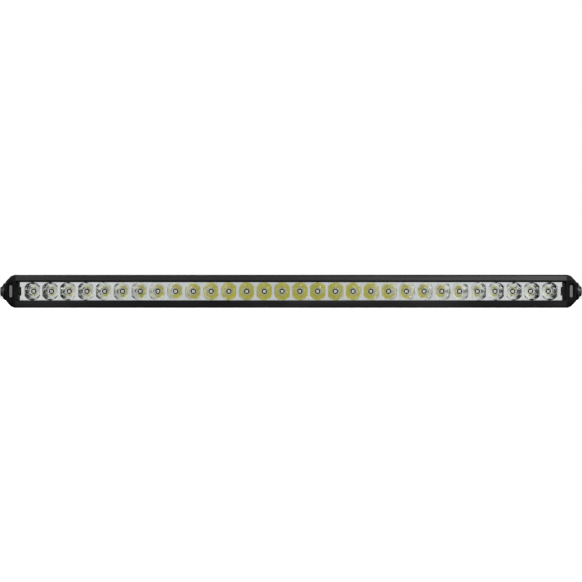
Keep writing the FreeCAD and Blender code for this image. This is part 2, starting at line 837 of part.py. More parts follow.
def slope_cap(body):
    """Slope the cap's top and bottom down to its outer face, and round all its front edges."""
    sketch = new_sketch(body, "XZ_Plane")
    for level, inward in (("bar_height", "-"), ("0", "+")):
        polygon(sketch, [
            ("0", level),
            ("cap_thickness - cap_slope_length", f"{level} {inward} cap_shoulder_drop"),
            ("cap_thickness", f"{level} {inward} cap_slope_height"),
            ("cap_thickness", level),
        ])
    pocket(body, sketch, "4*bar_depth", midplane=True)
    box = body.Tip.Shape.BoundBox
    creases = (size("rail_face_height"), size("bar_height") - size("rail_face_height"))

    def on_front(edge):
        return edge.BoundBox.YLength < 0.01 and abs(edge.BoundBox.YMin - box.YMin) < 0.01

    def on_outer_face(edge):
        return edge.BoundBox.XLength < 0.01 and abs(edge.BoundBox.XMin - box.XMax) < 0.01

    def on_crease(edge):
        return any(all(abs(end.Z - crease) < 0.01 for end in edge.Vertexes) for crease in creases)

    def on_rail_edge(edge):
        if len(edge.Vertexes) != 2 or edge.BoundBox.XLength < 0.01 or on_crease(edge):
            return False
        return max(end.Y for end in edge.Vertexes) < box.YMin + size("rail_setback") + 0.01

    def front_outer_corner(edge):
        return on_front(edge) and on_outer_face(edge)

    dress(body, "Fillet", on_rail_edge, {"Radius": "rail_radius"})
    dress(body, "Fillet", front_outer_corner, {"Radius": "cap_edge_round"})
    dress(body, "Fillet", on_outer_face, {"Radius": "cap_edge_round"})


def slot(sketch, across, low, high, width):
    """An upright slot with round ends."""
    first = sketch.GeometryCount
    for right in (-1, 1):
        sketch.addGeometry(Part.LineSegment(Vector(right, -5*right, 0), Vector(right, 5*right, 0)), False)
    sketch.addGeometry(Part.ArcOfCircle(Part.Circle(Vector(0, 5, 0), Vector(0, 0, 1), 1), 0, math.pi), False)
    sketch.addGeometry(
        Part.ArcOfCircle(Part.Circle(Vector(0, -5, 0), Vector(0, 0, 1), 1), math.pi, 2*math.pi), False)
    left_side, right_side, top, bottom = range(first, first + 4)
    for one, end, other, start in (
        (right_side, 2, top, 1), (top, 2, left_side, 1), (left_side, 2, bottom, 1), (bottom, 2, right_side, 1),
    ):
        sketch.addConstraint(Sketcher.Constraint("Coincident", one, end, other, start))
    fix_point(sketch, right_side, 1, f"{across} + {width}/2", f"{low} + {width}/2")
    fix_point(sketch, right_side, 2, f"{across} + {width}/2", f"{high} - {width}/2")
    fix_point(sketch, left_side, 1, f"{across} - {width}/2", f"{high} - {width}/2")
    fix_point(sketch, left_side, 2, f"{across} - {width}/2", f"{low} + {width}/2")
    for arc, level in ((top, f"{high} - {width}/2"), (bottom, f"{low} + {width}/2")):
        fix_distance(sketch, "DistanceY", arc, 3, level)


def cap_boss(body):
    """The round nose that the side bolt's washer sits on, narrowing outwards."""
    sketch = new_sketch(body, "YZ_Plane", "(cap_thickness - cap_edge_round)")
    circle(sketch, BOLT_Y, MID, "boss_base_radius")
    rim = new_sketch(body, "YZ_Plane", "(cap_thickness + boss_height)")
    circle(rim, BOLT_Y, MID, "boss_face_radius")
    loft = body.newObject("PartDesign::AdditiveLoft", f"{body.Name}_boss")
    loft.Profile = sketch
    loft.Sections = [rim]
    doc.recompute()


def cap_spigot(body):
    """A block that plugs the driver bay and gives the bolt's blind hole its depth."""
    sketch = new_sketch(body, "YZ_Plane")
    rectangle(
        sketch,
        f"{BAY_FRONT} + hole_clearance", f"{BAY_BACK} - hole_clearance",
        f"{MID} - {BAY_HALF} + hole_clearance", f"{MID} + {BAY_HALF} - hole_clearance",
    )
    pad(body, sketch, "cap_spigot_length", reverse=True)


def end_cap(label):
    body = new_body(label, x=CAP_INNER)
    sketch = new_sketch(body, "YZ_Plane")
    section_outline(sketch)
    pad(body, sketch, "cap_thickness")
    slope_cap(body)
    cap_boss(body)
    cap_spigot(body)
    # bolt hole, blind
    sketch = new_sketch(body, "YZ_Plane", "(cap_thickness + boss_height)")
    circle(sketch, BOLT_Y, MID, "(bolt_radius + hole_clearance)")
    pocket(body, sketch, "bolt_length - washer_thickness + bolt_hole_run_out")
    # screw holes with counterbores
    sketch = new_sketch(body, "YZ_Plane", "cap_thickness")
    for across, up in cap_screw_places():
        circle(sketch, across, up, "(cap_screw_radius + hole_clearance)")
    pocket(body, sketch, "cap_thickness")
    sketch = new_sketch(body, "YZ_Plane", "cap_thickness")
    for across, up in cap_screw_places():
        circle(sketch, across, up, "(cap_screw_head_radius + hole_clearance)")
    pocket(body, sketch, "cap_screw_head_height + cap_screw_head_sink")
    # front recess, and the tight slot for the nut plate behind it
    across = f"({PLATE_X} - {CAP_INNER})"
    sketch = new_sketch(body, "XZ_Plane", f"-({FRONT})")
    slot(sketch, across, f"({MID} - recess_height/2)", f"({MID} + recess_height/2)", "recess_width")
    pocket(body, sketch, "recess_depth")
    sketch = new_sketch(body, "XZ_Plane", f"-({FRONT})")
    half = "(plate_height/2 + slide_clearance)"
    slot(sketch, across, f"({MID} - {half})", f"({MID} + {half})", "(plate_thickness + 2*slide_clearance)")
    pocket(body, sketch, f"{BOLT_Y} + plate_past_bolt + slide_clearance - ({FRONT})")
    return body


def nut_plate(label):
    """A flat bar with round edges, tapped for the side bolt. It slides in from the front."""
    front = f"({FRONT} + recess_depth - plate_proud)"
    back = f"({BOLT_Y} + plate_past_bolt)"
    body = new_body(label, x=PLATE_X, y=back, z=MID)
    sketch = new_sketch(body, "XZ_Plane")
    slot(sketch, "0", "(-plate_height/2)", "(plate_height/2)", "plate_thickness")
    pad(body, sketch, f"{back} - {front}")
    sketch = new_sketch(body, "YZ_Plane", "-plate_thickness")
    circle(sketch, f"{BOLT_Y} - {back}", "0", "(bolt_radius + thread_clearance)")
    pocket(body, sketch, "2*plate_thickness", reverse=True)
    return body


def side_bolt(label):
    """A flanged button-head bolt. x = 0 is under its flange."""
    body = new_body(label, x=HEAD_SEAT, y=BOLT_Y, z=MID)
    for radius, length, reverse in (
        ("bolt_head_radius", "bolt_head_height", False),
        ("bolt_flange_radius", "bolt_flange_height", False),
        ("bolt_radius", "bolt_length", True),
    ):
        sketch = new_sketch(body, "YZ_Plane")
        circle(sketch, "0", "0", radius)
        pad(body, sketch, length, reverse=reverse)
        if radius == "bolt_head_radius":
            dress(body, "Fillet", lambda edge: edge.BoundBox.XMin > 1, {"Radius": "bolt_head_round"})
    sketch = new_sketch(body, "YZ_Plane", "bolt_head_height")
    hexagon(sketch, "0", "0", "bolt_socket_width")
    pocket(body, sketch, "bolt_socket_depth")
    return body


def side_washer(label):
    def is_outer_rim(edge):
        return edge.BoundBox.XMin > 1 and edge.BoundBox.YLength > 20

    body = new_body(label, x=BOSS_FACE, y=BOLT_Y, z=MID)
    sketch = new_sketch(body, "YZ_Plane")
    circle(sketch, "0", "0", "washer_radius")
    circle(sketch, "0", "0", "(bolt_radius + hole_clearance)")
    pad(body, sketch, "washer_thickness")
    dress(body, "Chamfer", is_outer_rim, {"Size": "washer_bevel"})
    return body


def cap_screws(label):
    """Four socket-head screws, sunk in the cap's outer face."""
    body = new_body(label, x=f"{CAP_FACE} - cap_screw_head_height - cap_screw_head_sink")
    for radius, length, reverse in (
        ("cap_screw_head_radius", "cap_screw_head_height", False),
        ("cap_screw_radius", "cap_screw_length", True),
    ):
        sketch = new_sketch(body, "YZ_Plane")
        for across, up in cap_screw_places():
            circle(sketch, across, up, radius)
        pad(body, sketch, length, reverse=reverse)
    sketch = new_sketch(body, "YZ_Plane", "cap_screw_head_height")
    for across, up in cap_screw_places():
        hexagon(sketch, across, up, "cap_screw_socket_width")
    pocket(body, sketch, "cap_screw_socket_depth")
    return body


# ---------------------------------------------------------------- driver

def build_driver_board():
    body = new_body("driver_board", y=DRIVER_BACK, z=MID)
    sketch = new_sketch(body, "XZ_Plane")
    rectangle(sketch, "-driver_length/2", "driver_length/2", f"-{DRIVER_HALF}", DRIVER_HALF)
    for place in PIN_PLACES:
        circle(sketch, f"{HEADER_X} + {place}", "0", "(pin_radius + slide_clearance)")
    pad(body, sketch, "driver_board_thickness")
    keep(body)


def upright_row(label, radius, height, places):
    """Round components that stand on the back of the driver board."""
    body = new_body(label, y=DRIVER_BACK, z=MID)
    sketch = new_sketch(body, "XZ_Plane")
    for across, up in places:
        circle(sketch, across, up, radius)
    pad(body, sketch, height, reverse=True)
    keep(body)


def chip_row(label, width, height, tall, places):
    """Rectangular components that lie on the back of the driver board."""
    body = new_body(label, y=DRIVER_BACK, z=MID)
    sketch = new_sketch(body, "XZ_Plane")
    for across, up in places:
        rectangle(
            sketch, f"{across} - {width}/2", f"{across} + {width}/2",
            f"{up} - {tall}/2", f"{up} + {tall}/2",
        )
    pad(body, sketch, height, reverse=True)
    keep(body)


CAPACITOR_STATIONS = ("-0.42", "-0.18", "0.21")
CHIP_STATIONS = ("-0.24", "-0.07", "0.38")


def driver_places(stations, rises):
    """Places on the driver board. A station is a share of the board's length, from its middle."""
    return [(f"{share}*driver_length", rise) for share in stations for rise in rises]


def build_driver():
    build_driver_board()
    upright_row(
        "driver_inductors", "inductor_radius", "inductor_height",
        [(f"{step}*inductor_pitch", "0") for step in (-1, 0, 1)],
    )
    upright_row(
        "driver_capacitors", "capacitor_radius", "capacitor_height",
        driver_places(CAPACITOR_STATIONS, ("capacitor_rise", "-capacitor_rise")),
    )
    chip_row(
        "driver_transistors", "transistor_width", "transistor_height", "transistor_tall",
        driver_places(CHIP_STATIONS, ("chip_rise",)),
    )
    chip_row(
        "driver_controllers", "controller_width", "controller_height", "controller_tall",
        driver_places(CHIP_STATIONS, ("-chip_rise",)),
    )
    terminal_x = "(terminal_width/2 + terminal_edge_gap - driver_length/2)"
    chip_row("input_terminal", "terminal_width", "terminal_height", "terminal_tall", [(terminal_x, "0")])


def build_header():
    """The power header in the heat-sink wall, and the two pins that join the boards through it."""
    body = new_body("power_header", x=HEADER_X, y=DRIVER_FRONT, z=MID)
    sketch = new_sketch(body, "XZ_Plane")
    rectangle(sketch, "-header_width/2", "header_width/2", "-header_height/2", "header_height/2")
    for place in PIN_PLACES:
        circle(sketch, place, "0", "pin_radius")
    pad(body, sketch, f"{DRIVER_FRONT} - {FLOOR}")
    keep(body)
    body = new_body("header_pins", x=HEADER_X, y=f"{DRIVER_BACK} + pin_reach", z=MID)
    sketch = new_sketch(body, "XZ_Plane")
    for place in PIN_PLACES:
        circle(sketch, place, "0", "pin_radius")
    pad(body, sketch, f"{DRIVER_BACK} - {BOARD_FRONT} + 2*pin_reach")
    keep(body)


# ---------------------------------------------------------------- gland and vent

def turned(label, place, base, steps, bore=None):
    """A piece made of coaxial steps along +Y from its base.

    Each step is (shape, size, start, length), where shape draws a circle or a hexagon.
    bore is (radius, start, length), if the piece is hollow.
    """
    body = new_body(label, x=place, y=base, z=MID)
    for shape, width, start, length in steps:
        sketch = new_sketch(body, "XZ_Plane", f"-({start})")
        shape(sketch, "0", "0", width)
        pad(body, sketch, length, reverse=True)
    if bore:
        radius, start, length = bore
        sketch = new_sketch(body, "XZ_Plane", f"-({start})")
        circle(sketch, "0", "0", radius)
        pocket(body, sketch, length)
    return body


def build_gland():
    """Body, O-ring, locknut, seal and dome nut of the gland. Its bore takes the supply cable."""
    place = "-fitting_offset"
    seat = FIN_ROOT
    inner = "(rear_wall + locknut_height)"
    ring = "seal_ring_height"
    hex_top = f"({ring} + gland_hex_height)"
    neck_top = f"({hex_top} + gland_neck_height)"
    keep(turned(
        "gland_body", place, seat,
        [
            (hexagon, "gland_hex_width", ring, "gland_hex_height"),
            (circle, "gland_thread_radius", f"-{inner}", f"{inner} + {ring}"),
            (circle, "gland_thread_radius", hex_top, "gland_neck_height"),
        ],
        ("gland_bore_radius", f"-{inner} - cut_margin", f"{inner} + {neck_top} + 2*cut_margin"),
    ))
    keep(turned(
        "gland_oring", place, seat,
        [(circle, "(gland_thread_radius + slide_clearance + seal_ring_width)", "0", ring)],
        ("(gland_thread_radius + thread_clearance)", "-cut_margin", f"{ring} + 2*cut_margin"),
    ))
    keep(turned(
        "gland_locknut", place, f"{BAY_BACK} - locknut_height",
        [(hexagon, "gland_hex_width", "0", "locknut_height")],
        ("(gland_thread_radius + thread_clearance)", "-cut_margin", "locknut_height + 2*cut_margin"),
    ))
    nut_bottom = f"({hex_top} + slide_clearance)"
    nut = turned(
        "gland_nut", place, seat,
        [(hexagon, "gland_nut_width", nut_bottom, "gland_nut_height")],
        ("(gland_thread_radius + thread_clearance)", nut_bottom, "gland_nut_height - gland_nut_roof"),
    )
    sketch = new_sketch(nut, "XZ_Plane", f"-{nut_bottom}")
    circle(sketch, "0", "0", "(cable_radius + gland_mouth_margin)")
    pocket(nut, sketch, "gland_nut_height + cut_margin")
    keep(nut)
    seal_start = f"({neck_top} + slide_clearance)"
    seal_length = f"({nut_bottom} + gland_nut_height - gland_nut_roof - slide_clearance - {seal_start})"
    keep(turned(
        "gland_seal", place, seat,
        [
            (circle, "(gland_thread_radius - slide_clearance)", seal_start, seal_length),
            (circle, "(gland_bore_radius - slide_clearance)", hex_top, "gland_neck_height + cut_margin"),
        ],
        ("cable_radius", "0", "4*gland_nut_height"),
    ))


def build_vent():
    """A screw-in breather: body with a cross bore, gasket and membrane."""
    place = "fitting_offset"
    seat = FIN_ROOT
    inner = "(rear_wall + vent_thread_past_wall)"
    ring = "seal_ring_height"
    keep(turned(
        "vent_body", place, seat,
        [
            (hexagon, "vent_head_width", ring, "vent_head_height"),
            (circle, "vent_thread_radius", f"-{inner}", f"{inner} + {ring}"),
        ],
        ("vent_bore_radius", f"-{inner} - cut_margin", f"{inner} + cut_margin + {ring} + vent_head_height/2"),
    ))
    keep(turned(
        "vent_gasket", place, seat,
        [(circle, "(vent_thread_radius + seal_ring_width)", "0", ring)],
        ("(vent_thread_radius + thread_clearance)", "-cut_margin", f"{ring} + 2*cut_margin"),
    ))
    keep(turned(
        "vent_membrane", place, seat,
        [(circle, "(vent_bore_radius - thread_clearance)", "0", "vent_membrane_height")],
    ))


# ---------------------------------------------------------------- build, check and write

def check_document():
    doc.recompute()
    for item in doc.Objects:
        if "Invalid" in item.State or "Error" in item.State:
            raise RuntimeError(f"{item.Name} failed: {item.State}")
    for part in subparts:
        if part.Shape.isNull() or not part.Shape.isValid():
            raise RuntimeError(f"{part.Label} has no valid shape")


def write_parts():
    os.makedirs("parts", exist_ok=True)
    for part in subparts:
        part.Shape.exportStep(f"parts/{part.Label}.step")


fill_sheet()
build_housing()
build_lens()
build_lens_gasket()
for strip in STRIPS:
    build_reflector(strip)
build_boards()
build_leds()
build_domes()
build_board_links()
build_board_screws()
both_sides("end_retainer", end_retainer)
both_sides("cap_gasket", cap_gasket)
both_sides("end_cap", end_cap)
both_sides("cap_screws", cap_screws)
both_sides("nut_plate", nut_plate)
both_sides("side_bolt", side_bolt)
both_sides("side_washer", side_washer)
build_driver()
build_header()
build_gland()
build_vent()
check_document()
write_parts()
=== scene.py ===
import json
import math

import bpy
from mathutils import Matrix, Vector


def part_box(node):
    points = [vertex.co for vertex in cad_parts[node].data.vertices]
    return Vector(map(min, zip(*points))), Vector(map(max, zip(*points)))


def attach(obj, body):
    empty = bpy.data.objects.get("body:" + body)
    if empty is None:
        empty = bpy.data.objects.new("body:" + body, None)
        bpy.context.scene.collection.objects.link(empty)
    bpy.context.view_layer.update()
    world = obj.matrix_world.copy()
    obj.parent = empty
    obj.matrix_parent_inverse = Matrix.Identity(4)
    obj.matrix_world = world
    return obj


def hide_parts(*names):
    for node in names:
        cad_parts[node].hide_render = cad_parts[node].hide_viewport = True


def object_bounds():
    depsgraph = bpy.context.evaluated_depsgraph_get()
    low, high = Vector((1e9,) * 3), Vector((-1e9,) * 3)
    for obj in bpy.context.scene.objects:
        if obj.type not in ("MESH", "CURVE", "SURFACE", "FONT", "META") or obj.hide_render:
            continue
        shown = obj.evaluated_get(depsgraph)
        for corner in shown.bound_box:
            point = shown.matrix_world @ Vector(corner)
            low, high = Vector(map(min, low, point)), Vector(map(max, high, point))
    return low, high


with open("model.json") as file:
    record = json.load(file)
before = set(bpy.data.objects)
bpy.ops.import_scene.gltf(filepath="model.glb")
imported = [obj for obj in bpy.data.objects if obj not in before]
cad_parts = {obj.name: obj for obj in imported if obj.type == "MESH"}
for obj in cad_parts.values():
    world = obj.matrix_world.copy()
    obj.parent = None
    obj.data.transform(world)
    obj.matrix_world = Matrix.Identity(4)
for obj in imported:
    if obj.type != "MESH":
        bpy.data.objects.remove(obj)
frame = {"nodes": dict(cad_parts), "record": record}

# An LED light bar on a pale floor. Metres; X runs along the bar, the lens faces -Y, Z is up.

MM = 0.001
X, Y, Z = range(3)
CAD_BOX = [list(corner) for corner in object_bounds()]
NODES = frame["nodes"]

# ------------------------------------------------------------------ places read from the frame

LED_LOW, LED_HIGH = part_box("led_bases")
BASE_WIDTH = LED_HIGH[Z] - LED_LOW[Z]
LED_COUNT = 30
STRIP_CELLS = 10
PITCH = (LED_HIGH[X] - LED_LOW[X] - BASE_WIDTH)/(LED_COUNT - 1)
AXIS_Z = (LED_LOW[Z] + LED_HIGH[Z])/2
FOCUS_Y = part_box("led_phosphors")[0][Y]
STRIP_LOW, STRIP_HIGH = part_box("reflector_middle")
STRIP_HEIGHT = STRIP_HIGH[Z] - STRIP_LOW[Z]
FRONT_Y = STRIP_LOW[Y]
BOLT_LOW, BOLT_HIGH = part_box("side_bolt_right")
BOLT_Y = (BOLT_LOW[Y] + BOLT_HIGH[Y])/2

# ------------------------------------------------------------------ sizes of the new pieces

# reflector bowls, each focused on the phosphor of its LED
FOCUS = 2.0*MM
HOLE_RADIUS = 3.7*MM
SHELL = 3.0*MM
WEB = 3.5*MM
PLATE = 1.2*MM
VERTEX_Y = FOCUS_Y + FOCUS
HOLE_Y = VERTEX_Y - HOLE_RADIUS**2/(4*FOCUS)
SHELL_SIDES, SHELL_RINGS = 48, 8
BOWL_SIDES, BOWL_RINGS = 96, 26

# the gap left between a clear piece and what it covers
HAIR = 0.02*MM
DOME_SIDES, DOME_RINGS = 40, 24

# how far a cutter runs past the face it cuts
MARGIN = 1.0*MM

# points closer than this are one
SAME = 1e-6

QUARTER_TURN = math.radians(90)

# ------------------------------------------------------------------ studio

# how bright the room is by direction: stops of (direction, level) along each axis
ROOM_LEVELS = {
    Z: [
        (-1, 0), (-0.65, 0), (-0.45, 0.12), (-0.2, 0.6), (0.0, 0.56), (0.3, 0.5), (0.55, 0.35), (0.8, 0.2),
        (1, 0.2),
    ],
    Y: [(-1, 1), (-0.3, 1), (0.1, 0.6), (0.5, 1.0), (1, 1.0)],
    X: [
        (-1, 0.7), (-0.32, 0.9), (-0.22, 0.15), (-0.13, 0.94), (0.0, 0.72), (0.13, 0.94), (0.22, 0.15),
        (0.32, 0.9), (1, 0.7),
    ],
}
ROOM_COLOUR = (1.5, 1.5, 1.52, 1)
WHITE = (1, 1, 1, 1)

# name, place, aim, width, height, watts
SOFT_BOXES = [
    ("right_soft_box", (1.4, -2.6, 1.4), (0.3, 0, 0), 2.0, 1.0, 80),
    ("left_soft_box", (-1.75, -2.6, 1.4), (-0.3, 0, 0), 1.5, 1.0, 38),
    ("back_soft_box", (-0.9, 2.4, 1.5), (0, 0, 0), 2.0, 1.0, 60),
]

FLOOR_RADIUS = 40
FLOOR_SIDES = 96
FLOOR_GLOW = 0.5

CAMERA_DISTANCE = 3.0
CAMERA_RISE = 0.35*MM
CAMERA_LENS = 132.65
CAMERA_SENSOR = 36
CAMERA_FAR = 200

# light passes through many clear faces on its way into a bowl and out again
CLEAR_BOUNCES = 40
MIRROR_BOUNCES = 8
ALL_BOUNCES = 16


# ------------------------------------------------------------------ modelling helpers

def deselect_all():
    bpy.ops.object.select_all(action="DESELECT")


def name_piece(name):
    """Name the piece just added, and give it back."""
    piece = bpy.context.object
    piece.name = name
    piece.data.name = name
    return piece


def activate(piece):
    deselect_all()
    piece.select_set(True)
    bpy.context.view_layer.objects.active = piece


def edit(piece):
    """Enter edit mode with everything selected."""
    activate(piece)
    bpy.ops.object.mode_set(mode="EDIT")
    bpy.ops.mesh.select_all(action="SELECT")


def leave_edit():
    bpy.ops.object.mode_set(mode="OBJECT")


def settle(piece):
    """The piece's place goes into its mesh."""
    activate(piece)
    bpy.ops.object.transform_apply(location=True, rotation=True, scale=True)


def add_block(name, middle, size):
    """A block at its place, as a blank or a cutter."""
    deselect_all()
    bpy.ops.mesh.primitive_cube_add(size=1, location=middle)
    block = name_piece(name)
    block.scale = size
    settle(block)
    return block


def apply_modifier(piece, kind, name, **values):
    activate(piece)
    modifier = piece.modifiers.new(name, kind)
    for key, value in values.items():
        setattr(modifier, key, value)
    bpy.ops.object.modifier_apply(modifier=modifier.name)


def repeat_along_bar(piece, count, **joining):
    """A row of the piece, one LED pitch apart."""
    apply_modifier(
        piece, "ARRAY", "row", count=count, use_relative_offset=False,
        use_constant_offset=True, constant_offset_displace=(PITCH, 0, 0), **joining,
    )


def bisect(piece, point, normal):
    """Cut the piece at a plane and close it. What lies on the normal's side goes."""
    edit(piece)
    bpy.ops.mesh.bisect(plane_co=point, plane_no=normal, use_fill=True, clear_outer=True)
    leave_edit()


def combine(piece, tool, operation):
    """Boolean the tool into the piece, and remove the tool."""
    apply_modifier(piece, "BOOLEAN", operation.lower(), operation=operation, object=tool, solver="EXACT")
    bpy.data.objects.remove(tool)


def join(piece, other):
    """The other's mesh goes into the piece as a closed shell of its own, flush against it."""
    activate(piece)
    other.select_set(True)
    bpy.ops.object.join()


def face_outwards(piece):
    edit(piece)
    bpy.ops.mesh.remove_doubles(threshold=SAME)
    bpy.ops.mesh.normals_make_consistent(inside=False)
    leave_edit()


def smooth(piece, degrees=30):
    activate(piece)
    bpy.ops.object.shade_smooth_by_angle(angle=math.radians(degrees))


def pick_faces(piece, test):
    """Select, in edit mode, the faces that pass the test."""
    edit(piece)
    bpy.ops.mesh.select_all(action="DESELECT")
    bpy.ops.mesh.select_mode(type="FACE")
    leave_edit()
    for face in piece.data.polygons:
        face.select = test(face)
    bpy.ops.object.mode_set(mode="EDIT")


# ------------------------------------------------------------------ reflector strips

def bowl_radius(y, shift):
    """Radius of the paraboloid at a station, for a surface moved back by shift."""
    return math.sqrt(4*FOCUS*(VERTEX_Y + shift - y))


def bowl_solid(name, shift, front, sides, rings):
    """A paraboloid about x = 0, from the LED hole forward to front."""
    deselect_all()
    start = bowl_radius(HOLE_Y, shift)
    bpy.ops.mesh.primitive_circle_add(
        vertices=sides, radius=start, fill_type="NGON",
        location=(0, HOLE_Y, AXIS_Z), rotation=(QUARTER_TURN, 0, 0),
    )
    solid = name_piece(name)
    settle(solid)
    edit(solid)
    y, radius = HOLE_Y, start
    end = bowl_radius(front, shift)
    for ring in range(1, rings + 1):
        next_radius = start + (end - start)*ring/rings
        next_y = VERTEX_Y + shift - next_radius**2/(4*FOCUS)
        bpy.ops.mesh.extrude_region_move(TRANSFORM_OT_translate={"value": (0, next_y - y, 0)})
        grow = next_radius/radius
        bpy.ops.transform.resize(value=(grow, 1, grow), center_override=(0, next_y, AXIS_Z))
        y, radius = next_y, next_radius
    leave_edit()
    face_outwards(solid)
    return solid


def reflector_cell():
    """One bowl with its half webs, closed all round, centred on x = 0."""
    cell = add_block("reflector_cell", (0, FRONT_Y + PLATE/2, AXIS_Z), (PITCH, PLATE, STRIP_HEIGHT))
    shell = bowl_solid("shell", SHELL, FRONT_Y + PLATE/2, SHELL_SIDES, SHELL_RINGS)
    for side in (-1, 1):
        bisect(shell, (side*PITCH/2, 0, 0), (side, 0, 0))
        bisect(shell, (0, 0, AXIS_Z + side*STRIP_HEIGHT/2), (0, 0, side))
    combine(cell, shell, "UNION")
    hollow = bowl_solid("hollow", 0, FRONT_Y - MARGIN, BOWL_SIDES, BOWL_RINGS)
    for side in (-1, 1):
        bisect(hollow, (side*(PITCH - WEB)/2, 0, 0), (side, 0, 0))
    combine(cell, hollow, "DIFFERENCE")
    combine(cell, hollow_mouth(), "DIFFERENCE")
    return cell


def hollow_mouth():
    """The tool that opens the bowl's back for the LED."""
    deselect_all()
    bpy.ops.mesh.primitive_cylinder_add(
        vertices=BOWL_SIDES, radius=HOLE_RADIUS, depth=2*MARGIN,
        location=(0, HOLE_Y, AXIS_Z), rotation=(QUARTER_TURN, 0, 0),
    )
    mouth = name_piece("mouth")
    settle(mouth)
    return mouth


def reflector_strip(name, cell, middle, plain_end):
    """Ten cells in a row. plain_end is -1 or 1 for the strip's outer end, or 0."""
    activate(cell)
    bpy.ops.object.duplicate()
    strip = name_piece(name)
    repeat_along_bar(strip, STRIP_CELLS, use_merge_vertices=True, merge_threshold=SAME)
    strip.location.x = middle - PITCH*(STRIP_CELLS - 1)/2
    settle(strip)
    if plain_end:
        low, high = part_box(name.replace("mirror_strip", "reflector"))
        end = middle + plain_end*PITCH*STRIP_CELLS/2
        tip = low[X] if plain_end < 0 else high[X]
        add_plain_end(strip, end, tip, plain_end)
    smooth(strip)
    return strip


def add_plain_end(strip, end, tip, side):
    """The flat strip past the last bowl, folded back to the board."""
    size = (abs(tip - end), PLATE, STRIP_HEIGHT)
    flat = add_block("plain_end", ((end + tip)/2, FRONT_Y + PLATE/2, AXIS_Z), size)
    fold = tip - side*PLATE
    pick_faces(flat, lambda face: face.normal.y > 0.5)
    bpy.ops.mesh.bisect(plane_co=(fold, 0, 0), plane_no=(1, 0, 0))
    leave_edit()
    pick_faces(flat, lambda face: face.normal.y > 0.5 and side*(face.center.x - fold) > 0)
    bpy.ops.mesh.extrude_region_move(TRANSFORM_OT_translate={"value": (0, HOLE_Y - FRONT_Y - PLATE, 0)})
    leave_edit()
    face_outwards(flat)
    join(strip, flat)


def build_reflectors():
    """Three strips, in place of the plainer ones of the frame."""
    cell = reflector_cell()
    strips = []
    for side, word in ((-1, "left"), (0, "middle"), (1, "right")):
        strip = reflector_strip(f"mirror_strip_{word}", cell, side*PITCH*STRIP_CELLS, side)
        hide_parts(f"reflector_{word}")
        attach(strip, "bar")
        strips.append(strip)
    bpy.data.objects.remove(cell)
    return strips


# ------------------------------------------------------------------ LED domes

def build_domes():
    """Thirty clear domes, each hollowed a hair wider than the phosphor it covers."""
    low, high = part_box("led_domes")
    chip_low, chip_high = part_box("led_phosphors")
    chip_width = chip_high[Z] - chip_low[Z]
    foot = (high[Z] - low[Z])/2
    rise = high[Y] - low[Y]
    radius = (foot**2 + rise**2)/(2*rise)
    first_x = chip_low[X] + chip_width/2
    deselect_all()
    bpy.ops.mesh.primitive_uv_sphere_add(
        segments=DOME_SIDES, ring_count=DOME_RINGS, radius=radius,
        location=(first_x, low[Y] + radius, AXIS_Z), rotation=(QUARTER_TURN, 0, 0),
    )
    dome = name_piece("clear_domes")
    settle(dome)
    bisect(dome, (0, high[Y] - HAIR, 0), (0, 1, 0))
    width = chip_width + 2*HAIR
    depth = 2*(chip_high[Y] - chip_low[Y] + HAIR)
    seat = add_block("seat", (first_x, chip_high[Y], AXIS_Z), (width, depth, width))
    combine(dome, seat, "DIFFERENCE")
    repeat_along_bar(dome, LED_COUNT)
    face_outwards(dome)
    smooth(dome, 40)
    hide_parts("led_domes")
    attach(dome, "bar")
    return dome


# ------------------------------------------------------------------ materials: how a finish is built

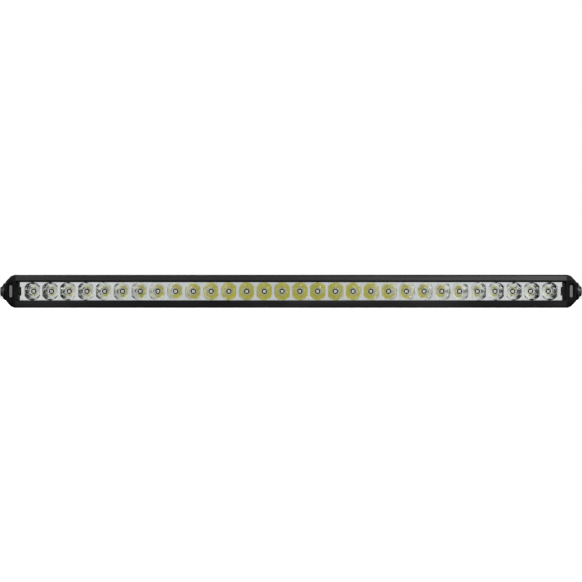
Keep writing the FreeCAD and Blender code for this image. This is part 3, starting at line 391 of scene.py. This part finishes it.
class Finish:
    """A node material in the making: a Principled shader with patterns on Object coordinates."""

    def __init__(self, name, **values):
        self.material = bpy.data.materials.new(name)
        self.material.use_nodes = True
        self.tree = self.material.node_tree
        self.nodes = self.tree.nodes
        self.nodes.clear()
        self.output = self.nodes.new("ShaderNodeOutputMaterial")
        self.shader = self.nodes.new("ShaderNodeBsdfPrincipled")
        self.link(self.shader.outputs[0], self.output.inputs["Surface"])
        for socket, value in values.items():
            self.shader.inputs[socket.replace("_", " ")].default_value = value
        self.place = self.nodes.new("ShaderNodeTexCoord").outputs["Object"]

    def link(self, source, target):
        self.tree.links.new(source, target)

    def set(self, socket, value):
        self.link(value, self.shader.inputs[socket])

    def noise(self, scale, detail=4, along=(1, 1, 1)):
        """A cloudy pattern, drawn out along an axis where along is under 1."""
        mapping = self.nodes.new("ShaderNodeMapping")
        mapping.inputs["Scale"].default_value = along
        self.link(self.place, mapping.inputs["Vector"])
        node = self.nodes.new("ShaderNodeTexNoise")
        node.inputs["Scale"].default_value = scale
        node.inputs["Detail"].default_value = detail
        self.link(mapping.outputs[0], node.inputs["Vector"])
        return node.outputs["Fac"]

    def band(self, value, low, high, start, end):
        """Map a value from low..high to start..end, held at both ends."""
        node = self.nodes.new("ShaderNodeMapRange")
        for index, number in enumerate((low, high, start, end), start=1):
            node.inputs[index].default_value = number
        self.link(value, node.inputs[0])
        return node.outputs[0]

    def blend(self, factor, first, second):
        """A colour between two, by a factor."""
        node = self.nodes.new("ShaderNodeMix")
        node.data_type = "RGBA"
        factor_in, first_in, second_in = node.inputs[0], node.inputs[6], node.inputs[7]
        self.link(factor, factor_in)
        for socket, colour in ((first_in, first), (second_in, second)):
            if isinstance(colour, tuple):
                socket.default_value = (*colour, 1)
            else:
                self.link(colour, socket)
        return node.outputs[2]

    def height(self, value, distance):
        node = self.nodes.new("ShaderNodeBump")
        node.inputs["Distance"].default_value = distance
        node.inputs["Strength"].default_value = 1.0
        self.link(value, node.inputs["Height"])
        return node.outputs[0]

    def calculate(self, operation, first, second):
        """Arithmetic on a pattern. second is a pattern too, or a number."""
        node = self.nodes.new("ShaderNodeMath")
        node.operation = operation
        self.link(first, node.inputs[0])
        if isinstance(second, (int, float)):
            node.inputs[1].default_value = second
        else:
            self.link(second, node.inputs[1])
        return node.outputs[0]


def speckled(name, dark, light, rough, scale=1200, depth=0.02*MM, metal=0.0, shine=0.5):
    """A plain moulded, ceramic, rubber or metal finish with its own grain."""
    finish = Finish(name, Metallic=metal, Specular_IOR_Level=shine)
    grain = finish.noise(scale)
    cloud = finish.noise(scale/25)
    finish.set("Base Color", finish.blend(finish.band(cloud, 0.3, 0.7, 0, 1), dark, light))
    finish.set("Roughness", finish.band(grain, 0.3, 0.7, rough - 0.06, rough + 0.08))
    finish.set("Normal", finish.height(grain, depth))
    return finish


def see_through(finish, tint, rough, gloss_level):
    """Turns the finish into a clear one: what is behind it shows, under a gloss that grows edge-on."""
    clear = finish.nodes.new("ShaderNodeBsdfTransparent")
    finish.link(tint, clear.inputs[0])
    gloss = finish.nodes.new("ShaderNodeBsdfGlossy")
    finish.link(rough, gloss.inputs["Roughness"])
    edge = finish.nodes.new("ShaderNodeLayerWeight")
    edge.inputs["Blend"].default_value = 0.5
    grazing = finish.calculate("POWER", edge.outputs["Facing"], 5)
    mix = finish.nodes.new("ShaderNodeMixShader")
    finish.link(finish.band(grazing, 0, 1, gloss_level, 1), mix.inputs[0])
    finish.link(clear.outputs[0], mix.inputs[1])
    finish.link(gloss.outputs[0], mix.inputs[2])
    finish.link(mix.outputs[0], finish.output.inputs["Surface"])
    finish.nodes.remove(finish.shader)
    return finish


# ------------------------------------------------------------------ materials: the bar's casing and optics

def housing_coat():
    """Black anodised extrusion: die lines run along it, a little worn here and there."""
    finish = Finish("black_anodised_extrusion", Metallic=0.0, Specular_IOR_Level=0.18)
    lines = finish.noise(1500, 4, (0.004, 1, 1))
    cloud = finish.noise(14, 5, (0.5, 1, 1))
    cloudy = finish.band(cloud, 0.35, 0.65, 0, 1)
    base = finish.blend(cloudy, (0.006, 0.006, 0.007), (0.010, 0.010, 0.011))
    worn = finish.band(finish.calculate("MULTIPLY", lines, cloud), 0.27, 0.36, 0, 0.25)
    finish.set("Base Color", finish.blend(worn, base, (0.045, 0.045, 0.048)))
    finish.set("Roughness", finish.band(finish.noise(40, 5, (0.1, 1, 1)), 0.3, 0.7, 0.30, 0.42))
    finish.set("Normal", finish.height(lines, 0.02*MM))
    return finish


def cap_coat():
    """Powder coat over die casting: a slightly cloudy black with a fine grain."""
    finish = Finish("black_cast_coat", Metallic=0.0, Specular_IOR_Level=0.06)
    cloud = finish.noise(22, 5)
    fine = finish.noise(700, 3)
    cloudy = finish.band(cloud, 0.35, 0.65, 0, 1)
    finish.set("Base Color", finish.blend(cloudy, (0.002, 0.002, 0.002), (0.005, 0.005, 0.005)))
    finish.set("Roughness", finish.band(finish.noise(60), 0.3, 0.7, 0.33, 0.44))
    finish.set("Normal", finish.height(fine, 0.03*MM))
    return finish


def mirror_coat():
    """Vacuum metallised moulding: bright, with a faint ripple."""
    finish = Finish("metallised_reflector", Metallic=1.0)
    ripple = finish.noise(160, 2)
    fine = finish.noise(900, 3)
    tint = finish.blend(finish.band(ripple, 0.3, 0.7, 0, 1), (0.86, 0.86, 0.88), (0.93, 0.93, 0.93))
    finish.set("Base Color", tint)
    finish.set("Roughness", finish.band(fine, 0.3, 0.7, 0.05, 0.10))
    finish.set("Normal", finish.height(ripple, 0.12*MM))
    return finish


def clear_lens():
    """Clear polycarbonate, wiped along its length."""
    finish = Finish("clear_polycarbonate")
    wipe = finish.noise(35, 5, (0.3, 1, 1))
    tint = finish.blend(wipe, (0.955, 0.97, 0.965), (0.985, 0.99, 0.985))
    return see_through(finish, tint, finish.band(wipe, 0.3, 0.7, 0.02, 0.06), 0.006)


def led_dome_clear():
    """Clear silicone over the phosphor."""
    finish = Finish("led_dome_silicone")
    haze = finish.noise(1500, 2)
    tint = finish.blend(haze, (0.95, 0.95, 0.92), (1.0, 1.0, 0.98))
    return see_through(finish, tint, finish.band(haze, 0.3, 0.7, 0.02, 0.08), 0.03)


def led_ceramic():
    """White package under each phosphor."""
    return speckled("led_ceramic", (0.80, 0.80, 0.77), (0.88, 0.88, 0.86), 0.55, 2500, 0.01*MM)


def led_phosphor():
    """Unlit phosphor: yellow, and fills each bowl by reflection."""
    return speckled("led_phosphor", (0.52, 0.475, 0.012), (0.63, 0.575, 0.03), 0.6, 4000, 0.01*MM)


# ------------------------------------------------------------------ materials: seals, boards and driver

def silicone_seal():
    return speckled("silicone_seal", (0.004, 0.004, 0.004), (0.009, 0.009, 0.009), 0.6, shine=0.1)


def dark_solder_mask():
    """LED boards."""
    return speckled("dark_solder_mask", (0.004, 0.005, 0.003), (0.012, 0.013, 0.007), 0.4, shine=0.15)


def green_solder_mask():
    """Driver board."""
    return speckled("green_solder_mask", (0.02, 0.13, 0.05), (0.04, 0.19, 0.08), 0.4)


def thermal_pad():
    return speckled("thermal_pad", (0.40, 0.46, 0.52), (0.48, 0.53, 0.58), 0.8)


def component_moulding():
    """Inductors, transistors and controllers."""
    return speckled("component_moulding", (0.03, 0.03, 0.032), (0.045, 0.045, 0.048), 0.5)


def capacitor_can():
    return speckled("capacitor_can", (0.48, 0.49, 0.51), (0.60, 0.61, 0.63), 0.35, metal=1.0)


def terminal_moulding():
    return speckled("terminal_moulding", (0.05, 0.25, 0.10), (0.09, 0.34, 0.15), 0.45)


def gold_flash():
    """Header pins."""
    return speckled("gold_flash", (0.75, 0.55, 0.22), (0.85, 0.65, 0.28), 0.25, metal=1.0)


# ------------------------------------------------------------------ materials: fasteners and fittings

def zinc_plated_screw():
    return speckled("zinc_plated_screw", (0.50, 0.50, 0.48), (0.62, 0.62, 0.60), 0.35, 1500, metal=1.0)


def black_oxide_steel():
    """Side bolts, their washers and the cap screws."""
    return speckled("black_oxide_steel", (0.018, 0.018, 0.020), (0.035, 0.035, 0.038), 0.32, 900)


def zinc_nut_plate():
    """Dull plate that shows as a grey bar in the cap's slot."""
    return speckled("zinc_nut_plate", (0.09, 0.09, 0.09), (0.13, 0.13, 0.13), 0.45, 900)


def black_moulding():
    """Window end blocks, board links and the power header."""
    return speckled("black_moulding", (0.003, 0.003, 0.002), (0.008, 0.008, 0.005), 0.5, shine=0.08)


def gland_nylon():
    return speckled("gland_nylon", (0.018, 0.018, 0.019), (0.03, 0.03, 0.032), 0.45)


def gland_seal():
    return speckled("gland_seal", (0.018, 0.018, 0.018), (0.03, 0.03, 0.03), 0.7)


def vent_nylon():
    return speckled("vent_nylon", (0.018, 0.018, 0.019), (0.03, 0.03, 0.032), 0.45)


def membrane_film():
    return speckled("membrane_film", (0.82, 0.82, 0.80), (0.92, 0.92, 0.90), 0.8, 3000)


FINISH_OF_SLOT = {
    "housing": housing_coat,
    "end_caps": cap_coat,
    "lens": clear_lens,
    "reflectors": mirror_coat,
    "silicone": silicone_seal,
    "boards": dark_solder_mask,
    "driver_laminate": green_solder_mask,
    "thermal_pads": thermal_pad,
    "led_ceramic": led_ceramic,
    "phosphor": led_phosphor,
    "led_silicone": led_dome_clear,
    "steel_screws": zinc_plated_screw,
    "black_steel": black_oxide_steel,
    "zinc": zinc_nut_plate,
    "black_plastic": black_moulding,
    "components": component_moulding,
    "capacitors": capacitor_can,
    "terminal": terminal_moulding,
    "pins": gold_flash,
    "gland_plastic": gland_nylon,
    "gland_rubber": gland_seal,
    "vent_plastic": vent_nylon,
    "membrane": membrane_film,
}


def paint_nodes(finishes):
    """Every CAD node takes the finish of its slot in the record."""
    slots = {part["node"]: part["material_slot"] for part in frame["record"]["subparts"]}
    for name, node in NODES.items():
        finish = finishes[slots[name]]
        for index in range(len(node.material_slots)):
            node.material_slots[index].link = "DATA"
            node.data.materials[index] = finish.material
        if not node.material_slots:
            node.data.materials.append(finish.material)


def paint_piece(piece, finish):
    piece.data.materials.clear()
    piece.data.materials.append(finish.material)


# ------------------------------------------------------------------ floor, light and camera

def build_floor():
    """A wide pale floor under the bar."""
    deselect_all()
    bpy.ops.mesh.primitive_circle_add(
        vertices=FLOOR_SIDES, radius=FLOOR_RADIUS, fill_type="NGON", location=(0, 0, CAD_BOX[0][Z]),
    )
    floor = name_piece("studio_floor")
    finish = Finish("pale_floor", Roughness=0.9, Emission_Color=WHITE, Emission_Strength=FLOOR_GLOW)
    finish.set("Base Color", finish.blend(finish.noise(3), (0.86, 0.86, 0.86), (0.90, 0.90, 0.90)))
    floor.data.materials.append(finish.material)
    floor.visible_glossy = False
    floor.visible_diffuse = False


def level_curve(tree, direction, stops):
    """The room's level along one axis, as a curve through the stops."""
    ramp = tree.nodes.new("ShaderNodeFloatCurve")
    curve = ramp.mapping.curves[0]
    while len(curve.points) < len(stops):
        curve.points.new(0.5, 0.5)
    for point, (place, value) in zip(curve.points, stops):
        point.location = (place/2 + 0.5, value)
        point.handle_type = "VECTOR"
    ramp.mapping.update()
    shift = tree.nodes.new("ShaderNodeMapRange")
    shift.inputs["From Min"].default_value = -1
    tree.links.new(direction, shift.inputs["Value"])
    tree.links.new(shift.outputs[0], ramp.inputs["Value"])
    return ramp.outputs[0]


def multiply(tree, first, second):
    product = tree.nodes.new("ShaderNodeMath")
    product.operation = "MULTIPLY"
    tree.links.new(first, product.inputs[0])
    tree.links.new(second, product.inputs[1])
    return product.outputs[0]


def build_room():
    """A soft room: bright in front and behind at the bar's height, dimmer overhead and dark below.

    Across the bar it is bright ahead and far out, with a dim band between on each side.
    The camera sees plain white.
    """
    world = bpy.data.worlds.new("studio")
    bpy.context.scene.world = world
    world.use_nodes = True
    tree = world.node_tree
    tree.nodes.clear()
    output = tree.nodes.new("ShaderNodeOutputWorld")
    room = tree.nodes.new("ShaderNodeBackground")
    room.inputs["Color"].default_value = ROOM_COLOUR
    white = tree.nodes.new("ShaderNodeBackground")
    white.inputs["Color"].default_value = WHITE
    mix = tree.nodes.new("ShaderNodeMixShader")
    path = tree.nodes.new("ShaderNodeLightPath")
    direction = tree.nodes.new("ShaderNodeTexCoord")
    split = tree.nodes.new("ShaderNodeSeparateXYZ")
    tree.links.new(direction.outputs["Generated"], split.inputs[0])
    up, depth, across = (level_curve(tree, split.outputs[axis], ROOM_LEVELS[axis]) for axis in (Z, Y, X))
    tree.links.new(multiply(tree, multiply(tree, up, depth), across), room.inputs["Strength"])
    tree.links.new(path.outputs["Is Camera Ray"], mix.inputs[0])
    tree.links.new(room.outputs[0], mix.inputs[1])
    tree.links.new(white.outputs[0], mix.inputs[2])
    tree.links.new(mix.outputs[0], output.inputs["Surface"])


def add_soft_box(name, place, aim, width, height, watts):
    light = bpy.data.lights.new(name, "AREA")
    light.shape = "RECTANGLE"
    light.size = width
    light.size_y = height
    light.energy = watts
    holder = bpy.data.objects.new(name, light)
    bpy.context.scene.collection.objects.link(holder)
    holder.location = place
    holder.rotation_euler = (Vector(aim) - Vector(place)).to_track_quat("-Z", "Y").to_euler()


def build_camera():
    """Level with the row of LEDs, straight in front."""
    data = bpy.data.cameras.new("front_camera")
    data.sensor_width = CAMERA_SENSOR
    data.lens = CAMERA_LENS
    data.clip_end = CAMERA_FAR
    camera = bpy.data.objects.new("front_camera", data)
    bpy.context.scene.collection.objects.link(camera)
    camera.location = (0, BOLT_Y - CAMERA_DISTANCE, AXIS_Z + CAMERA_RISE)
    camera.rotation_euler = (QUARTER_TURN, 0, 0)
    bpy.context.scene.camera = camera


def main():
    scene = bpy.context.scene
    scene.view_settings.view_transform = "Standard"
    scene.cycles.transparent_max_bounces = CLEAR_BOUNCES
    scene.cycles.glossy_bounces = MIRROR_BOUNCES
    scene.cycles.max_bounces = ALL_BOUNCES
    finishes = {slot: make_finish() for slot, make_finish in FINISH_OF_SLOT.items()}
    paint_nodes(finishes)
    for strip in build_reflectors():
        paint_piece(strip, finishes["reflectors"])
    paint_piece(build_domes(), finishes["led_silicone"])
    build_floor()
    build_room()
    for soft_box in SOFT_BOXES:
        add_soft_box(*soft_box)
    build_camera()


main()
